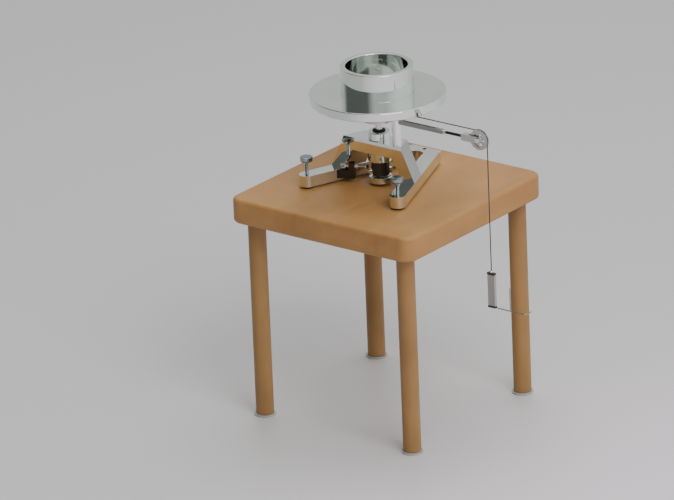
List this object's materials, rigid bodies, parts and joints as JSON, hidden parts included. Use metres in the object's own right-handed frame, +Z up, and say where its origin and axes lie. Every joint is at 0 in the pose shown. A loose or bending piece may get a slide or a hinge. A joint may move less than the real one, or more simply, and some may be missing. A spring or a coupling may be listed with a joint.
{
  "type": "rotational inertia apparatus",
  "caption": "Laboratory rotational inertia apparatus: a disc and ring on a ball-bearing spindle, driven by a cord, guide pulley and falling weight, on a wooden stand.",
  "frame": {"origin": "on the floor, under the middle of the whole object's bounding box", "axes": "+Z up; +X along the arm, from the spindle to the guide pulley; +Y from the levelling screws to the base's rear end"},
  "size_m": [0.4712, 0.37, 0.5925],
  "materials": {
    "beech_wood": "satin lacquer",
    "glide_plastic": "smooth",
    "polished_chrome": "mirror polished",
    "polished_disc": "mirror polished",
    "polished_ring": "mirror polished",
    "white_steel": "gloss",
    "ground_steel": "ground",
    "screw_steel": "bright plated",
    "black_screws": "blackened",
    "grey_metal": "satin",
    "black_metal": "satin black",
    "black_rubber": "matte",
    "cord_nylon": "braided",
    "weight_steel": "satin",
    "black_plastic": "moulded",
    "spring_wire": "drawn wire"
  },
  "bodies": {
    "stand": {"stand_top": "beech_wood", "leg_front_left": "beech_wood", "leg_front_right": "beech_wood", "leg_back_left": "beech_wood", "leg_back_right": "beech_wood", "leg_glides": "glide_plastic", "base_frame": "polished_chrome", "rear_pad": "black_rubber", "bridge": "polished_chrome", "bridge_screws": "screw_steel", "bearing_housing": "polished_chrome", "ring_nut": "polished_chrome", "ring_nut_screws": "black_screws", "seal_ring": "black_rubber", "upper_outer_race": "ground_steel", "lower_outer_race": "ground_steel", "post": "white_steel", "post_screw": "screw_steel", "arm_bar": "grey_metal", "arm_set_screw": "black_screws", "arm_ferrule": "ground_steel", "arm_rod": "black_metal", "pulley_yoke": "grey_metal", "pulley_axle": "ground_steel", "axle_clip": "black_screws", "cord_run": "cord_nylon", "lock_bracket": "polished_chrome", "lock_sleeve": "ground_steel", "lock_spring": "spring_wire"},
    "rotor": {"spindle": "ground_steel", "step_pulley": "grey_metal", "pulley_set_screw": "black_screws", "index_drum": "black_metal", "drum_lugs": "polished_chrome", "foot_flange": "polished_chrome", "flange_set_screw": "black_screws", "disc": "polished_disc", "centre_screw": "screw_steel", "upper_inner_race": "ground_steel", "lower_inner_race": "ground_steel", "cord_winding": "cord_nylon"},
    "balls": {"upper_balls": "ground_steel", "lower_balls": "ground_steel"},
    "ring": {"ring": "polished_ring"},
    "guide_pulley": {"guide_pulley": "grey_metal"},
    "weight": {"weight_body": "weight_steel", "weight_top_cap": "black_plastic", "weight_bottom_cap": "black_plastic", "cord_eye": "weight_steel", "loading_wire": "spring_wire", "cord_drop": "cord_nylon"},
    "left_pad": {"front_pad_left": "black_rubber"},
    "right_pad": {"front_pad_right": "black_rubber"},
    "left_screw": {"level_screw_left": "screw_steel"},
    "right_screw": {"level_screw_right": "screw_steel"},
    "lock": {"lock_rod": "ground_steel", "lock_pad": "black_rubber", "lock_knob": "black_plastic"}
  },
  "joints": [
    {"name": "spindle_turn", "type": "hinge", "parent": "stand", "child": "rotor", "pos_m": [-0.0606, 0, 0.5465], "axis": [0, 0, 1], "range_deg": [-811.6, 954.8]},
    {"name": "ball_orbit", "type": "hinge", "parent": "stand", "child": "balls", "pos_m": [-0.0606, 0, 0.4645], "axis": [0, 0, 1], "range_deg": [-300, 350]},
    {"name": "weight_drop", "type": "slide", "parent": "stand", "child": "weight", "axis": [0, 0, -1], "range_m": [-0.17, 0.2], "deforming": ["cord_drop"]},
    {"name": "guide_pulley_turn", "type": "hinge", "parent": "stand", "child": "guide_pulley", "pos_m": [0.1532, -0.012, 0.5065], "axis": [0, 1, 0], "range_deg": [-628.9, 739.8]},
    {"name": "ring_lift", "type": "slide", "parent": "rotor", "child": "ring", "axis": [0, 0, 1], "range_m": [0, 0.1]},
    {"name": "left_pad_rise", "type": "slide", "parent": "stand", "child": "left_pad", "axis": [0, 0, 1], "range_m": [0, 0.0018]},
    {"name": "left_screw_turn", "type": "hinge", "parent": "left_pad", "child": "left_screw", "pos_m": [-0.1536, -0.0765, 0.415], "axis": [0, 0, 1], "range_deg": [0, 649]},
    {"name": "right_pad_rise", "type": "slide", "parent": "stand", "child": "right_pad", "axis": [0, 0, 1], "range_m": [0, 0.0018]},
    {"name": "right_screw_turn", "type": "hinge", "parent": "right_pad", "child": "right_screw", "pos_m": [0.0324, -0.0765, 0.415], "axis": [0, 0, 1], "range_deg": [0, 649]},
    {"name": "lock_push", "type": "slide", "parent": "stand", "child": "lock", "axis": [0.9063, 0.4226, 0], "range_m": [0, 0.0045], "stiffness_N_per_m": 150, "springref_m": -0.002}
  ],
  "couplings": [
    {"joint": "ball_orbit", "follows": "spindle_turn", "ratio": 0.36364},
    {"joint": "weight_drop", "follows": "spindle_turn", "m_per_rad": 0.012},
    {"joint": "guide_pulley_turn", "follows": "spindle_turn", "ratio": 0.77419},
    {"joint": "left_screw_turn", "follows": "left_pad_rise", "rad_per_m": 6283.2},
    {"joint": "right_screw_turn", "follows": "right_pad_rise", "rad_per_m": 6283.2}
  ]
}
